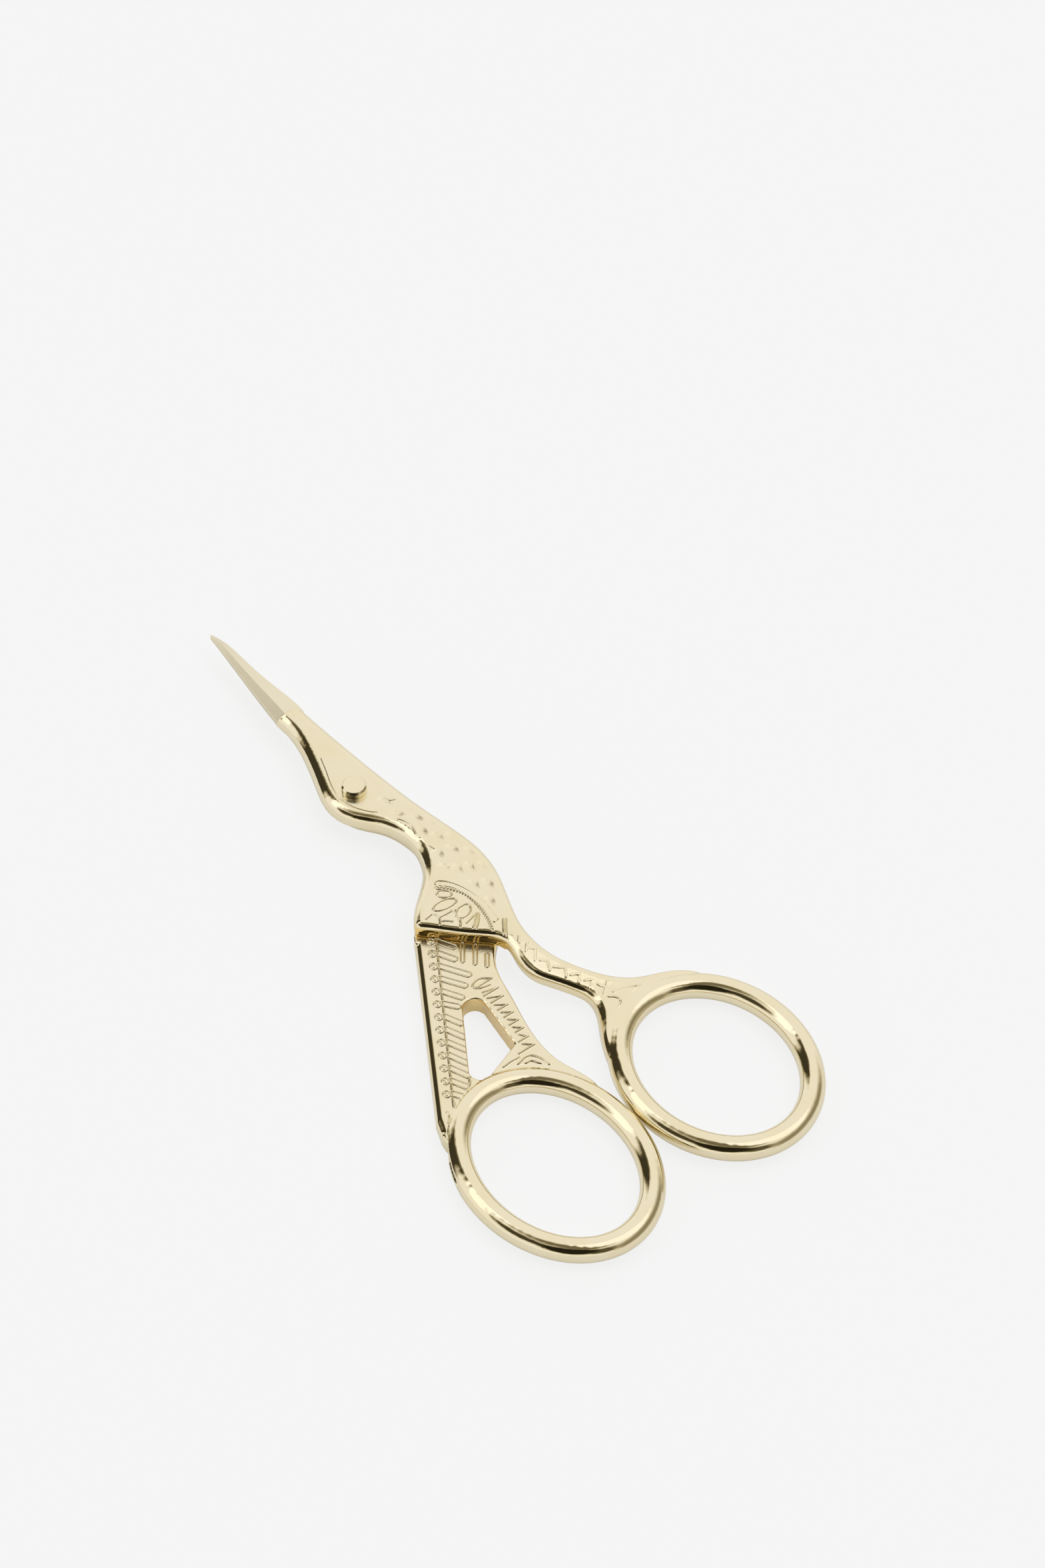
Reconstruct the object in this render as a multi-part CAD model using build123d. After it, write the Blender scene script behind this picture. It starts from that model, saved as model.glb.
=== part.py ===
"""Stork embroidery scissors: two castings shaped as a bird, two steel blades and a rivet.

Drawn about the pivot: X runs to the tips, Y to the lower half's bow, Z up from the table.
The finished pieces are shifted so that the origin is under the middle of the closed scissors.
"""

from build123d import *

import os
from math import atan2, cos, degrees, radians, sin

# Heights of the two halves
plate_thickness = 2.40  # lower half, from the table to the plane on which the halves slide
slide_gap = 0.05
body_thickness = 1.95  # upper half, at the bird's body
head_thickness = 1.75  # either half
collar_thickness = 1.50  # either half

# Bird outline, shared by both halves
collar_reach = 13.75  # pivot to the end of the casting, towards the tips
head_width = 7.35
body_reach = 19.40  # pivot to the corner at which the ledge starts
body_width = 13.00
upper_edge_round = 0.72  # along the upper half's top
lower_edge_round = 0.90  # along the lower half's underside
leg_edge_round = 0.55  # along the leg's underside
corner_round = 0.78  # in plan, at the body's corner

# Finger bows
bow_reach = 51.47  # pivot to the bows' middles, along X
bow_height = 1.50  # table to the wire's middle
bow_wire_diameter = 2.74
bow_side_gap = 0.12  # between the bows when the scissors are closed
lower_bow_length = 23.27  # along the wire's middle, as are the next three
lower_bow_width = 17.90
upper_bow_length = 22.50
upper_bow_width = 18.65
bow_parting_side = 0.29  # pivot to the gap between the bows, across
bow_tilt = 3.0

# Slim leg of the upper half
leg_foot_top = 2.55  # above the table, where the leg meets its bow
leg_foot_bottom = 0.55

# Panel of the lower half
panel_side = 5.80  # pivot to the panel's outer edge, across, where the edge starts
panel_angle = 30.0  # of the outer edge, from X
panel_length = 26.50  # along the outer edge
panel_edge_round = 0.80
strut_side = 2.30  # pivot to the strut's inner edge, across
strut_edge_round = 0.30
panel_start_reach = 20.10  # pivot to where the panel is clear of the upper half
window_tip_round = 1.28
window_crown_round = 1.20
window_foot_round = 0.35
window_edge_bevel = 0.12

# Blades
tip_reach = 28.90
tip_side = 0.50  # pivot to the tips, across
heel_width = 3.50  # where the blade leaves its casting
heel_side = 0.90
blade_thickness = 1.15
tip_thickness = 0.50
tip_width = 0.40
edge_thickness = 0.12
tang_width = 1.90
tang_thickness = 0.80
eye_diameter = 3.40
pocket_gap = 0.02

# Rivet
shank_diameter = 2.00
rivet_head_diameter = 2.80
rivet_head_height = 0.85
rivet_head_edge = 0.20
rivet_tail_diameter = 3.00
rivet_tail_depth = 0.50
rivet_tail_swell = 0.15
turning_gap = 0.03  # round the shank and under the head

overrun = 1.0  # how far a cut runs past what it cuts

slide_height = plate_thickness + slide_gap  # table to the upper half
head_top = slide_height + head_thickness
shank_hole_diameter = shank_diameter + 2 * turning_gap
far_width = body_width + lower_bow_width + upper_bow_width  # wider than the whole

# Outline points ahead of the pivot: shares of the collar's reach along X and of the head's width across
beak_throat_shares = ((1.0, 0.136), (0.509, 0.220), (0.284, 0.350), (0.015, 0.465))
beak_back_shares = ((0.233, -0.463), (0.691, -0.362), (1.0, -0.310))
lower_beak_throat_shares = ((1.0, 0.050), (0.509, 0.110), (0.270, 0.225), (0.010, 0.340))
lower_beak_back_shares = ((0.233, -0.430), (0.691, -0.345), (1.0, -0.298))
# Outline points behind it: shares of the body's reach along X and of the body's width across
neck_throat_shares = (
    (-0.124, 0.215), (-0.253, 0.065), (-0.474, -0.062), (-0.701, 0.036), (-0.845, 0.259), (-1.000, 0.430)
)
body_back_shares = (
    (-1.216, -0.342), (-0.974, -0.460), (-0.825, -0.503), (-0.696, -0.496), (-0.487, -0.433), (-0.165, -0.338)
)
ledge_shares = ((-1.015, 0.402), (-1.113, 0.254), (-1.237, 0.062), (-1.307, -0.046), (-1.371, -0.088))
lower_throat_shares = (
    (-0.124, 0.145), (-0.253, 0.003), (-0.474, -0.122), (-0.722, -0.022), (-0.880, 0.180), (-0.945, 0.325)
)
lower_back_shares = (
    (-1.300, -0.075), (-1.180, -0.265), (-0.974, -0.430), (-0.825, -0.480), (-0.696, -0.470),
    (-0.487, -0.410), (-0.165, -0.315)
)
# Leg, strut and window points: shares of the leg's run along, and across of the upper bow's width (leg),
# of the strut's own side (strut) and of the lower bow's width (window)
leg_inner_shares = (
    (0.289, -0.051), (0.371, -0.064), (0.433, -0.134), (0.490, -0.207), (0.539, -0.249), (0.589, -0.239),
    (0.658, -0.177), (0.736, -0.110), (0.798, -0.078), (0.879, -0.105)
)
leg_outer_shares = (
    (0.759, -0.905), (0.663, -0.860), (0.600, -0.722), (0.556, -0.557), (0.500, -0.436), (0.428, -0.332),
    (0.341, -0.243), (0.249, -0.206)
)
strut_shares = (
    (0.911, 0.960), (0.839, 0.600), (0.806, 0.655), (0.692, 1.178), (0.593, 1.300), (0.477, 1.078),
    (0.376, 0.765), (0.293, 0.535), (0.253, 0.330)
)
window_shares = ((0.184, 0.235), (0.553, 0.2995), (0.643, 0.728))
# Heights of the leg between the body and its foot: shares of the leg's run and of the drop
leg_drop_shares = ((0.225, 0.0), (0.326, 0.210), (0.454, 0.650), (0.596, 1.0))
# Blade between heel and tip: shares of its length along, of the heel's width, of its thickness and of
# the heel's side
blade_shares = (
    (0.0, 1.0, 1.0, 1.0), (0.21, 0.866, 0.92, 0.96), (0.45, 0.626, 0.80, 0.81), (0.71, 0.437, 0.66, 0.82),
    (0.90, 0.28, 0.54, 0.76)
)
ridge_share = 0.32  # of the width, from the blade's back
back_share = 0.55  # height of the blade's back, of its thickness


def spread(shares, length, width):
    """Places an outline's shares in real sizes."""
    return [(along * length, across * width) for along, across in shares]


def beyond(shares, width):
    """Places shares of the leg's run, which starts at the body's corner and ends at the bows' middles."""
    run = bow_reach - body_reach
    return [(-body_reach - along * run, across * width) for along, across in shares]


def bow_sizes(side):
    """Length and width of a bow: side is 1 for the lower half's and -1 for the upper half's."""
    return (lower_bow_length, lower_bow_width) if side > 0 else (upper_bow_length, upper_bow_width)


def bow_middle(side):
    """Middle of a bow, on the table."""
    across = (bow_side_gap + bow_wire_diameter + bow_sizes(side)[1]) / 2
    return Vector(-bow_reach, bow_parting_side + side * across, 0)


def bow_ring(side):
    """A finger bow, round wire on an oval."""
    length, width = bow_sizes(side)
    place = Location(bow_middle(side) + Vector(0, 0, bow_height), (0, 0, bow_tilt))
    path = (place * Ellipse(length / 2, width / 2)).wire()
    wire_end = Plane(origin=path @ 0, z_dir=path % 0)
    return sweep(wire_end * Circle(bow_wire_diameter / 2), path=path)


def bow_disc(side):
    """Fills a bow up to the middle of its wire, to end what runs into it."""
    length, width = bow_sizes(side)
    place = Location(bow_middle(side) - Vector(0, 0, overrun), (0, 0, bow_tilt))
    height = plate_thickness + body_thickness + 2 * overrun
    return place * extrude(Ellipse(length / 2, width / 2), amount=height)


def side_view(points):
    """Places points drawn in side view."""
    return [Vector(along, 0, up) for along, up in points]


def side_solid(top, bottom):
    """Solid between two runs of lines drawn in side view, right across."""
    start = Line(bottom[0] @ 0, top[0] @ 0)
    end = Line(top[-1] @ 1, bottom[-1] @ 1)
    return extrude(make_face([start, *top, end, *bottom]), amount=far_width, both=True)


def bird_lines(level, swell, body_depth, start):
    """Side view of a half's outer face, from a start to past the collar: swell is 1 upwards, -1 downwards."""
    neck, nape, face, collar = side_view([
        (-body_reach / 2, level + swell * body_depth),
        (-head_width / 2, level + swell * head_thickness),
        (head_width / 2, level + swell * head_thickness),
        (collar_reach + overrun, level + swell * collar_thickness),
    ])
    level_run = ((1, 0, 0), (1, 0, 0))
    slopes = [Spline(*ends, tangents=level_run) for ends in ((neck, nape), (face, collar))]
    return [Line(start, neck), slopes[0], Line(nape, face), slopes[1]]


def rim(solid, swell):
    """Edges between a half's outer face and its side walls: swell is 1 for the top, -1 for the underside."""
    outer = [face for face in solid.faces() if swell * face.normal_at().Z > cos(radians(45))]
    walls = [face for face in solid.faces() if abs(face.normal_at().Z) < sin(radians(15))]
    ends = [wall for wall in walls if wall.geom_type == GeomType.PLANE and abs(wall.normal_at().X) == 1]
    sides = [wall for wall in walls if wall not in ends]
    edges = [edge for face in outer for edge in face.edges()]
    return ShapeList([edge for edge in edges if any(edge in wall.edges() for wall in sides)])


def behind(solid, reach):
    """Part of a solid that lies further from the pivot than a reach, towards the bows."""
    return split(solid, Plane.YZ.offset(-reach), keep=Keep.BOTTOM)


def ahead(solid, reach):
    """Part of a solid that lies nearer to the tips than a reach behind the pivot."""
    return split(solid, Plane.YZ.offset(-reach), keep=Keep.TOP)


def upper_outline():
    """Bird with its slim leg, seen from above."""
    beak = spread(beak_throat_shares, collar_reach, head_width)
    throat = Spline(*beak, *spread(neck_throat_shares, body_reach, body_width))
    ledge = spread(ledge_shares, body_reach, body_width)
    inner = Spline(throat @ 1, *ledge, *beyond(leg_inner_shares, upper_bow_width))
    leg = beyond(leg_outer_shares, upper_bow_width)
    body = spread(body_back_shares, body_reach, body_width)
    back = Spline(*leg, *body, *spread(beak_back_shares, collar_reach, head_width))
    face = make_face([throat, inner, Line(inner @ 1, back @ 0), back, Line(back @ 1, throat @ 0)])
    corner = face.vertices().sort_by_distance(throat @ 1)[0]
    return fillet(corner, corner_round)


def leg_fall(high, low):
    """Side view of the leg's top or underside, from its foot up to the body."""
    points = [(along, high - drop) for along, drop in beyond(leg_drop_shares[::-1], high - low)]
    return Spline(*side_view(points), tangents=((1, 0, 0), (1, 0, 0)))


def upper_casting():
    """Upper half: bird, leg and bow in one piece."""
    body_top = slide_height + body_thickness
    fall = leg_fall(body_top, leg_foot_top)
    rise = leg_fall(slide_height, leg_foot_bottom)
    foot_top, foot_bottom = side_view([(-bow_reach, leg_foot_top), (-bow_reach, leg_foot_bottom)])
    front = Vector(collar_reach + overrun, 0, slide_height)
    top = [Line(foot_top, fall @ 0), fall, *bird_lines(slide_height, 1, body_thickness, fall @ 1)]
    bottom = [Line(foot_bottom, rise @ 0), rise, Line(rise @ 1, front)]
    plate = extrude(upper_outline(), amount=body_top + overrun)
    solid = plate & side_solid(top, bottom)
    solid = fillet(rim(solid, 1), upper_edge_round)
    knee = -(rise @ 1).X
    leg = behind(solid, knee)
    solid = ahead(solid, knee) + fillet(rim(leg, -1), leg_edge_round)
    solid = (solid - bow_disc(-1)) + bow_ring(-1)
    hole = extrude(Circle(shank_hole_diameter / 2), amount=body_top + overrun)
    return solid - hole - tang(slide_height, 1, pocket_gap)


def lower_outline():
    """Bird, panel and strut of the lower half, seen from above."""
    beak = spread(lower_beak_throat_shares, collar_reach, head_width)
    neck = spread(lower_throat_shares, body_reach, body_width)
    along = Vector(-cos(radians(panel_angle)), sin(radians(panel_angle)))
    edge_start = Vector(-body_reach, panel_side)
    throat = Spline(*beak, *neck, edge_start, tangents=(Vector(-1, 0, 0), along))
    edge = Line(edge_start, edge_start + along * panel_length)
    strut = beyond(strut_shares, strut_side)
    body = spread(lower_back_shares, body_reach, body_width)
    back = Spline(*strut, *body, *spread(lower_beak_back_shares, collar_reach, head_width))
    return make_face([throat, edge, Line(edge @ 1, back @ 0), back, Line(back @ 1, throat @ 0)])


def window():
    """Three-cornered window of the panel, as far as its walls."""
    tip, foot, crown = beyond(window_shares, lower_bow_width)
    face = make_face(Polyline(tip, foot, crown, close=True))
    for corner, radius in ((tip, window_tip_round), (foot, window_foot_round), (crown, window_crown_round)):
        face = fillet(face.vertices().sort_by_distance(corner)[0], radius)
    return extrude(Location((0, 0, -overrun)) * face, amount=plate_thickness + 2 * overrun)


def flat_edges_within(solid, room):
    """Level edges of a solid that lie inside another's box."""
    box = room.bounding_box()
    edges = solid.edges().filter_by(lambda edge: edge.bounding_box().size.Z < window_edge_bevel)
    edges = edges.filter_by(lambda edge: box.min.X < (edge @ 0.5).X < box.max.X)
    return edges.filter_by(lambda edge: box.min.Y < (edge @ 0.5).Y < box.max.Y)


def lower_casting():
    """Lower half: bird, panel, strut and bow in one piece."""
    far = -bow_reach - lower_bow_length
    far_top, far_bottom, front = side_view([
        (far, plate_thickness), (far, 0), (collar_reach + overrun, plate_thickness)
    ])
    bottom = bird_lines(plate_thickness, -1, plate_thickness, far_bottom)
    plate = extrude(lower_outline(), amount=plate_thickness)
    solid = plate & side_solid([Line(far_top, front)], bottom)
    solid = fillet(rim(solid, -1), lower_edge_round)
    panel = behind(solid, panel_start_reach)
    panel = fillet(rim(panel, 1).sort_by(Axis.Y)[-1], panel_edge_round)
    panel = fillet(rim(panel, 1).sort_by(Axis.Y)[0], strut_edge_round) - window()
    panel = chamfer(flat_edges_within(panel, window()), window_edge_bevel)
    solid = ahead(solid, panel_start_reach) + panel
    solid = (solid - bow_disc(1)) + bow_ring(1)
    return solid - rivet() - tang(plate_thickness, -1, pocket_gap)


def tang(level, swell, gap):
    """A blade's tang with its eye round the pivot, or the pocket for them when there is a gap."""
    past = overrun if gap else 0
    run = Line((0, 0), (collar_reach, -heel_side))
    turn = Location(run @ 0.5, (0, 0, -degrees(atan2(heel_side, collar_reach))))
    outline = turn * Rectangle(run.length + 2 * past, tang_width + 2 * gap)
    outline = outline + Circle(eye_diameter / 2 + gap)
    plate = extrude(outline, amount=tang_thickness + past)
    start = level if swell > 0 else level - tang_thickness
    return Location((0, 0, start - (past if swell > 0 else 0))) * plate


def blade_section(along, width, thickness, across, level, swell):
    """Section of a blade: swell is 1 for the upper blade, whose back is towards the lower bow, and -1."""
    back = swell * width / 2
    ridge = back - swell * ridge_share * width
    outline = [
        (back, 0), (back, back_share * thickness), (ridge, thickness), (-back, edge_thickness), (-back, 0)
    ]
    points = [Vector(along, across + side, level + swell * up) for side, up in outline]
    return make_face(Polyline(*points, close=True))


def blade(level, swell):
    """A blade with its tang."""
    length = tip_reach - collar_reach
    sections = [
        blade_section(
            collar_reach + along * length, width * heel_width, thick * blade_thickness,
            -side * heel_side, level, swell
        )
        for along, width, thick, side in blade_shares
    ]
    sections.append(blade_section(tip_reach, tip_width, tip_thickness, -tip_side, level, swell))
    solid = loft(sections) + tang(level, swell, 0)
    hole_diameter = shank_hole_diameter if swell > 0 else shank_diameter
    return solid - extrude(Circle(hole_diameter / 2), amount=far_width, both=True)


def rivet():
    """Rivet: its tail is peened into the lower half and its head stands over the upper half."""
    low = plate_thickness - head_thickness
    seat = head_top + turning_gap
    shank, head, tail = shank_diameter / 2, rivet_head_diameter / 2, rivet_tail_diameter / 2
    crown = seat + rivet_head_height
    start, tail_edge, tail_end, neck, seat_edge, head_side, head_rim, middle = side_view([
        (0, low - rivet_tail_swell), (tail, low), (shank, low + rivet_tail_depth), (shank, seat),
        (head, seat), (head, crown - rivet_head_edge), (head - rivet_head_edge, crown), (0, crown),
    ])
    swell = TangentArc(start, tail_edge, tangent=(1, 0, 0))
    sides = Polyline(tail_edge, tail_end, neck, seat_edge, head_side, head_rim, middle, start)
    return revolve(make_face([swell, *sides.edges()]), axis=Axis.Z)


def main():
    pieces = {
        "upper_handle": upper_casting(),
        "upper_blade": blade(slide_height, 1),
        "lower_handle": lower_casting(),
        "lower_blade": blade(plate_thickness, -1),
        "pivot_rivet": rivet(),
    }
    box = Compound(children=[piece.moved(Location()) for piece in pieces.values()]).bounding_box()
    middle = Vector(-(box.min.X + box.max.X) / 2, -(box.min.Y + box.max.Y) / 2, -box.min.Z)
    os.makedirs("parts", exist_ok=True)
    for name, piece in pieces.items():
        placed = piece.moved(Location(middle))
        placed.label = name
        export_step(placed, f"parts/{name}.step")


main()
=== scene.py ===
"""Looks of the stork embroidery scissors: relief, finishes, floor and light round the fixed frame.

Places on the scissors are millimetres from the pivot: X runs to the tips, Y to the lower half's bow
and Z up from the table. Directions of light are azimuth and elevation in degrees.
"""

import math

import bmesh
import bpy
import numpy as np
from mathutils import Matrix, Vector
from mathutils.kdtree import KDTree


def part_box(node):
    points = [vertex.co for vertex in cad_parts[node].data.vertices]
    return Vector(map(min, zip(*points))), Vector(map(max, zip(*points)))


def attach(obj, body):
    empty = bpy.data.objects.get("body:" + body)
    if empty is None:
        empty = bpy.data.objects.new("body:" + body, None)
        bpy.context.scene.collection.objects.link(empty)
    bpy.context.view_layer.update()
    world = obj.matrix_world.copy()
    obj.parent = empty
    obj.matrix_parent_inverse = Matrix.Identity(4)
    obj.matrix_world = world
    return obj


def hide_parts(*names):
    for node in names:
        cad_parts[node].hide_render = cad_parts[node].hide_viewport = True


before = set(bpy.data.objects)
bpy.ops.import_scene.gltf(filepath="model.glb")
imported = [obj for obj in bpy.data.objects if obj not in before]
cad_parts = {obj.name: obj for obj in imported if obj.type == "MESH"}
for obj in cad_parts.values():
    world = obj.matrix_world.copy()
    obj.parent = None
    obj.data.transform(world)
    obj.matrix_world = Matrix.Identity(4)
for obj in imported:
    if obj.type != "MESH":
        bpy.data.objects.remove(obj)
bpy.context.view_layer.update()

MM = 0.001
rivet_low, rivet_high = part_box("pivot_rivet")
PIVOT = Vector(((rivet_low.x + rivet_high.x) / 2, (rivet_low.y + rivet_high.y) / 2, 0))

# Camera, from where the photograph's outlines meet the model's
CAMERA_AZIMUTH = 143.71  # degrees, from X to the side from which the camera looks
CAMERA_ELEVATION = 50.98
CAMERA_DISTANCE = 520.4
CAMERA_TARGET = (-7.55, -17.38)
CAMERA_LENS = 107.6
CAMERA_SENSOR = 36.0  # along the picture's height
CAMERA_NEAR = 0.01  # metres

# Finger bows: middle, length and width of the wire's centre line
UPPER_BOW = ((-51.47, -10.465), 22.50, 18.65)
LOWER_BOW = ((-51.47, 10.67), 23.27, 17.90)
BOW_TILT = 3  # degrees, the far ends apart

# Levels of the tops
UPPER_TOP_X = (-46.0, -38.0, -34.0, -26.6, -9.7, -3.7, 3.7, 13.75)
UPPER_TOP = (2.45, 2.55, 3.2, 4.4, 4.4, 4.2, 4.2, 3.95)
LOWER_TOP = 2.4
TOP_BAND = 0.6  # how far below its level a top reaches

# Even meshes of the castings
CAST_VOXEL = 0.14
CAST_WELD = 1e-4  # points that are nearer than this to each other become one
CAST_SMOOTHING = 14  # rounds for each casting
WIDENED_SMOOTHING = 6  # more for the upper one, after its rims are widened
BENT_SMOOTHING = 4  # and for the lower one, after its panel's edge is bent
SMOOTHING_PULLS = (0.6, -0.62)  # in and out again in each round, so that the size stays

# Where a top is satin and bears relief. The first value of a pair is where it starts, the second
# where it is in full, and rise and lean are those of the surface's normal.
SATIN_RISE = (0.94, 0.97)
SATIN_LEAN = (0.16, 0.06)  # to the sides, along Y
RELIEF_RISE = (0.80, 0.92)
REFINED_RISE = 0.8  # above this a top's faces are made finer
WIRE_CLEARANCE = (1.25, 1.40)  # from a bow's centre line

# Wider rounding of the upper half's rims
EXTRA_X = (-44.0, -41.0, -35.0, -32.0, -27.0, -19.5, -16.0)
EXTRA = (0, 0.38, 0.38, 0.30, 0.15, 0.10, 0.50)  # how much wider than the frame's
LEAST_EXTRA = 0.01  # points with less stay
RIM_DEPTH = (0.62, 0.3)  # below the top: the band in which the frame's rounding is looked for
RIM_RISE = 0.75  # and the rise that it stays under
RIM_ROUND = 0.72  # radius of the frame's rounding
RIM_THICKNESS = 1.95  # depth below the top down to which points move
RIM_FADE = 0.85  # how far in over the top a wider rounding is evened out
RIM_LEAN = (0.15, 0.4)  # lean over which the normal takes over from the nearest rim
UNDERSIDE_RISE = -0.3  # rise down to which points move
PIVOT_CLEARANCE = 2.0  # nearer than this to the pivot nothing is a rim
RIM_WIRE_CLEARANCE = (1.35, 2.45)  # from the bow's centre line
COLLAR_SECTION = 13.35  # place of a section just short of the collar's end
SECTION_HALF = 0.09  # half of its thickness
COLLAR_RIM = COLLAR_SECTION + 0.15  # place up to which the rim's own points are looked for
COLLAR_DEPTH = 0.6  # distance from the section's points at which the end stays in its place

# End of the panel's outer edge, led in to the bow
PANEL_EDGE = ((-19.40, 5.80), (-42.35, 19.05))
BEND_START = -40.2  # place from which the edge turns in
BENT_RISE = -0.34  # and its rise from there
BEND_BAND = (-2.0, -0.3)  # across the edge, from its line
BEND_WIRE_CLEARANCE = (1.38, 1.55)  # from the bow's centre line
# The web closes the corner between the end of the panel's edge and the bow
PANEL_WEB = ((-41.0, 16.5), (-42.0, 18.75), (-42.9, 19.1), (-44.3, 19.05), (-44.0, 17.5))
PANEL_WEB_LEVELS = (0.25, 2.35)

# Walls that get a painted tint, deeper and warmer, which stands in for the metal mirroring itself again and
# again: pairs as for the tops
WALL_RISE = (0.55, 0.25)
LEDGE_START = (-28.0, -26.5)  # along X
LEDGE_END = (-17.5, -18.8)
LEDGE_LEVEL = (4.15, 3.6)
WINDOW_OUTLINE = ((-25.3, 4.2), (-37.1, 5.4), (-40.0, 13.0), (-25.3, 4.2))
WINDOW_REACH = (1.3, 0.9)
WINDOW_RISE = (0.6, 0.3)
WINDOW_PAINTED_BOUNCE = 0.7  # share of the painted bounce tint there

# Finishes: linear colours, roughness from smoothest to roughest, and noise scales per metre
WHITE = (1.0, 1.0, 1.0, 1.0)
GOLD = (0.862, 0.776, 0.570, 1.0)
GOLD_WARM = (0.845, 0.749, 0.515, 1.0)
GOLD_PAINTED_BOUNCE = (0.880, 0.640, 0.250, 1.0)  # painted tint, standing in for the metal mirroring itself again and again
STEEL_GOLD = (0.825, 0.755, 0.585, 1.0)
FLOOR_WHITE = (0.944, 0.947, 0.950, 1.0)
FLOOR_SHADE = 0.995  # of the floor's colour, in its clouds
FLOOR_GLOW = 0.85  # share of the floor's own brightness to the camera
MIRRORED_GLOW = 0.35  # and in the metal, where the floor's shadows show more
POLISHED_ROUGHNESS = (0.035, 0.06)
SATIN_ROUGHNESS = (0.20, 0.28)
BLADE_ROUGHNESS = (0.26, 0.40)
RIVET_ROUGHNESS = (0.06, 0.16)
FLOOR_ROUGHNESS = 0.9
NOISE_SPREAD = (0.3, 0.7)  # between these most of a noise's values lie
TINT_SPREAD = (0.35, 0.7)
CAST_CLOUDS, CAST_GRAIN = 260.0, 5200.0
BLADE_CLOUDS, BLADE_LINES = 300.0, 420.0
BLADE_STRETCH = (1.0, 14.0, 14.0)  # makes the noise into lines along the blade
RIVET_CLOUDS = 900.0
FLOOR_CLOUDS = 3.0
GRAIN_HEIGHT, GRAIN_STRENGTH = 0.02, 0.6  # height in millimetres
LINE_HEIGHT, LINE_STRENGTH = 0.01, 0.35
RIVET_WEAR = 0.25  # millimetres
RIVET_WEAR_STEPS = 4
RIVET_WEAR_ANGLE = 40  # edges that turn by more degrees are worn

# The room that the metal mirrors
ROOM_BASE = 0.97
ROOM_WARM = (1.0, 0.85, 0.46, 1.0)  # tint of the room where it is dark
ROOM_BANDS = (
    # two ends, half width and softness in degrees, brightness
    ((80, 77), (165, 70), 5, 20, 0.18),  # high over the camera and its left
    ((-165, 18), (-102, 20), 6, 26, 0.30),  # low on the picture's right
    ((168, 22), (168, 40), 8, 16, 0.10),  # right of the camera
    ((-2, 55), (16, 46), 3.0, 7, 0.16),  # high on the far left
    ((10, 46), (33, 2), 6.0, 10, 0.05),  # and from there down to the floor
    ((76, 42), (100, 42), 18, 14, 0.06),  # left of the camera
    ((112, 38), (156, 38), 33, 13, 0.02),  # round the camera
    ((-118, 50), (-118, 88), 15, 6, 1.18),  # key softbox
    ((0, 66), (60, 30), 4.5, 3, 1.30),  # strip softbox
)
LAMPS = (
    # name, two ends, width as a share of the distance, brightness
    ("key_softbox", (-118, 46), (-118, 90), 0.75, 0.90),
    ("strip_softbox", (0, 66), (60, 27), 0.24, 0.7),
)
LAMP_DISTANCE = 0.9  # metres
FLOOR_REACH = 2.0  # metres to each side

# Relief on the upper half. Feathers: middle, and the way that each points
RELIEF_HEIGHT = 0.17
FEATHERS = (
    (-14.8, -1.55, 40), (-12.95, -1.95, -22), (-9.35, -2.35, -8), (-5.75, -1.65, 35), (-7.4, -2.95, 22),
    (-18.6, -2.65, 0), (-15.85, -2.55, -15), (-13.25, -3.6, 10), (-10.9, -3.35, 22), (-8.9, -4.05, 12),
    (-21.45, -2.65, -20), (-19.4, -3.9, -5), (-16.4, -3.75, -10), (-11.8, -4.7, 20), (-17.1, -4.95, 0),
    (-14.65, -4.95, 5),
)
FEATHER_SIZE = (2.1, 1.75)
EYE = (-3.35, -1.65)
EYE_SIZE, EYE_ANGLE = (2.3, 1.6), 40
EYE_CORNER = ((-3.5, -2.3), (-3.75, -2.8))
THROAT_LINE = ((5.9, 0.45), (4.0, 1.05), (2.1, 1.7), (0.4, 2.0), (-1.0, 1.75), (-2.1, 1.4), (-3.0, 0.85),
               (-3.7, 0.3), (-4.05, -0.15))
NECK_LINE = ((-12.0, -2.2), (-11.2, -2.0), (-10.1, -1.95), (-9.5, -1.8), (-8.7, -2.0), (-7.9, -2.1),
             (-6.9, -1.85), (-6.3, -1.5))
WING_BEADS = ((-24.9, -0.7), (-24.0, -1.05), (-23.0, -1.3), (-22.0, -1.45), (-21.0, -1.5), (-20.0, -1.42),
              (-19.0, -1.2), (-18.2, -0.8), (-17.5, -0.3), (-16.9, 0.2), (-16.6, 0.55))
WING_BEAD_COUNT, WING_BEAD_SIZE = 27, 0.42
WING_BAND = ((-23.8, -1.75), (-22.5, -1.85), (-21.2, -1.88), (-19.8, -1.72), (-18.6, -1.42), (-17.5, -0.9),
             (-16.7, -0.25), (-16.25, 0.35))
WING_BAND_HALF, WING_BAND_FLANK = 0.40, 0.2
WING_EDGE = ((-23.9, -2.1), (-22.6, -2.18), (-21.4, -2.22), (-20.0, -2.05), (-18.7, -1.72), (-17.5, -1.22),
             (-16.5, -0.6), (-15.9, 0.05), (-15.9, 0.45))
WING_RINGS = (
    # middle, length, width, angle, and how full the inside is, below 0 for a hollow
    ((-18.95, 1.35), 2.8, 1.15, 83, -1.2),
    ((-17.75, 0.55), 1.6, 1.0, 52, -0.9),
    ((-20.85, 0.25), 2.1, 1.35, 112, -1.2),
    ((-16.75, 0.45), 0.9, 0.5, 50, 0.8),
)
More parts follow.
